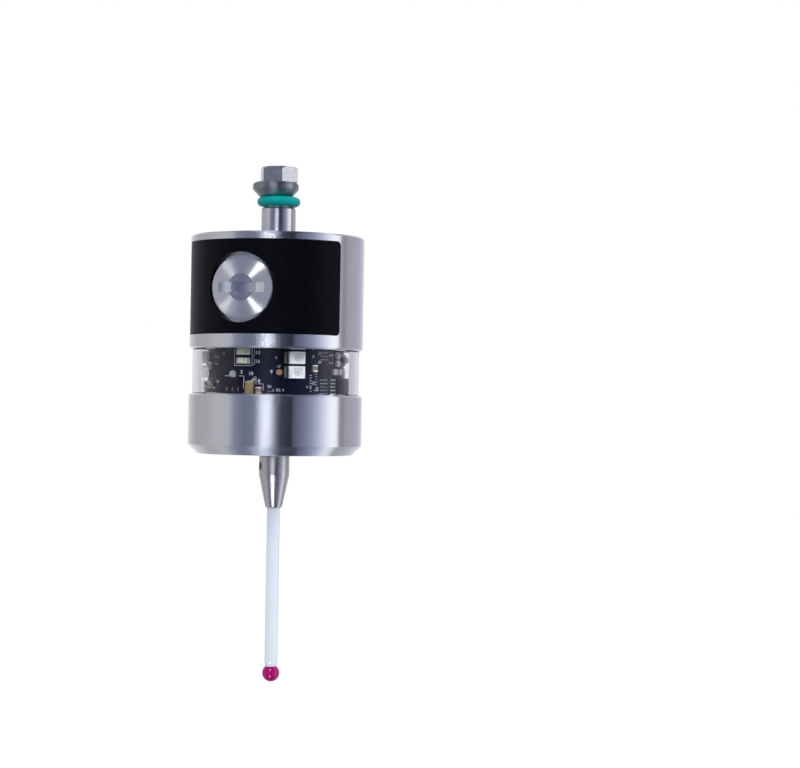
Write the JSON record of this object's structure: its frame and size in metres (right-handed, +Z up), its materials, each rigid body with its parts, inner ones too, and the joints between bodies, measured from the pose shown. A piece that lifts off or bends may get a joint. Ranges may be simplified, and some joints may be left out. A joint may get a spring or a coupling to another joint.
{
  "type": "touch probe",
  "caption": "Optical touch probe for a machining centre: steel body with clear signal window, battery cap, stem for a shank, and ruby-tipped ceramic stylus that tilts.",
  "frame": {"origin": "centre of the upper housing's top mounting face, where the stem leaves it", "axes": "+Z up along the stem towards the machine's shank, with the stylus along -Z; -Y out through the battery cap"},
  "size_m": [0.04, 0.04, 0.1187],
  "materials": {
    "housing_steel": "fine turned stainless steel, satin",
    "black_cover": "matt black with a fine grain",
    "stem_steel": "bright turned stainless steel",
    "green_rubber": "smooth blue-green fluororubber",
    "battery_sleeve": "shrink sleeve",
    "contact_bronze": "bright phosphor bronze",
    "cap_steel": "radially reflecting faced stainless steel",
    "black_rubber": "moulded rubber",
    "clear_window": "polished and clear",
    "core_aluminium": "machined",
    "black_moulding": "moulded",
    "board_laminate": "dark blue solder resist",
    "emitter_case": "white moulded case",
    "lamp_case": "cream moulded case",
    "chip_resin": "black moulding resin",
    "tantalum_case": "tan moulded case",
    "capacitor_ceramic": "fired, with tinned ends",
    "resistor_glaze": "glazed, with tinned ends",
    "seat_steel": "ground tool steel",
    "seat_carbide": "polished hard metal",
    "adjuster_brass": "turned brass",
    "spring_steel": "drawn spring wire",
    "holder_steel": "satin non-magnetic steel",
    "alumina": "ground white ceramic",
    "ruby": "polished synthetic ruby"
  },
  "bodies": {
    "probe_body": {"upper_housing": "housing_steel", "lower_housing": "housing_steel", "nose_ring": "housing_steel", "side_cover": "black_cover", "mounting_stem": "stem_steel", "draw_ring": "stem_steel", "hex_screw": "stem_steel", "stem_o_ring": "green_rubber", "battery": "battery_sleeve", "battery_contact_spring": "contact_bronze", "battery_contact_plate": "contact_bronze", "window_ring": "clear_window", "upper_window_gasket": "black_rubber", "lower_window_gasket": "black_rubber", "core_tube": "core_aluminium", "board_former": "black_moulding", "circuit_board": "board_laminate", "infrared_emitters": "emitter_case", "status_lamps": "lamp_case", "regulator_chips": "chip_resin", "signal_chips": "chip_resin", "tantalum_capacitors": "tantalum_case", "chip_capacitors": "capacitor_ceramic", "chip_resistors": "resistor_glaze", "processor_board": "board_laminate", "processor_chip": "chip_resin", "seat_ring": "seat_steel", "seat_rollers": "seat_carbide", "spring_adjuster": "adjuster_brass", "main_spring": "spring_steel", "diaphragm": "black_rubber", "nose_screws": "stem_steel"},
    "cap_thread": {"cap_seal_ring": "black_rubber"},
    "cap": {"battery_cap": "cap_steel", "cap_contact_spring": "contact_bronze"},
    "first_seat_side": {"seat_ball_a": "seat_carbide"},
    "second_seat_side": {"seat_ball_b": "seat_carbide"},
    "stylus": {"seat_ball_c": "seat_carbide", "stylus_carrier": "core_aluminium", "dust_shield": "housing_steel", "stylus_holder": "holder_steel", "stylus_stem": "alumina", "ruby_ball": "ruby"}
  },
  "joints": [
    {"name": "cap_out", "type": "slide", "parent": "probe_body", "child": "cap_thread", "axis": [0, -1, 0], "range_m": [0, 0.004]},
    {"name": "cap_turn", "type": "hinge", "parent": "cap_thread", "child": "cap", "pos_m": [0, -0.0185, -0.0125], "axis": [0, -1, 0], "range_deg": [0, 1440]},
    {"name": "lift_ball_a", "type": "hinge", "parent": "probe_body", "child": "first_seat_side", "pos_m": [0, -0.005, -0.04454], "axis": [1, 0, 0], "range_deg": [0, 12.5], "stiffness_Nm_per_rad": 0.025, "springref_deg": -67.04, "deforming": ["main_spring", "diaphragm"]},
    {"name": "lift_ball_b", "type": "hinge", "parent": "first_seat_side", "child": "second_seat_side", "pos_m": [0.00433, 0.0025, -0.04454], "axis": [-0.5, 0.866, 0], "range_deg": [0, 12.5], "stiffness_Nm_per_rad": 0.025, "springref_deg": -67.04, "deforming": ["main_spring", "diaphragm"]},
    {"name": "lift_ball_c", "type": "hinge", "parent": "second_seat_side", "child": "stylus", "pos_m": [-0.00433, 0.0025, -0.04454], "axis": [-0.5, -0.866, 0], "range_deg": [0, 12.5], "stiffness_Nm_per_rad": 0.025, "springref_deg": -67.04, "deforming": ["main_spring", "diaphragm"]}
  ],
  "couplings": [
    {"joint": "cap_turn", "follows": "cap_out", "rad_per_m": 6283.2}
  ]
}
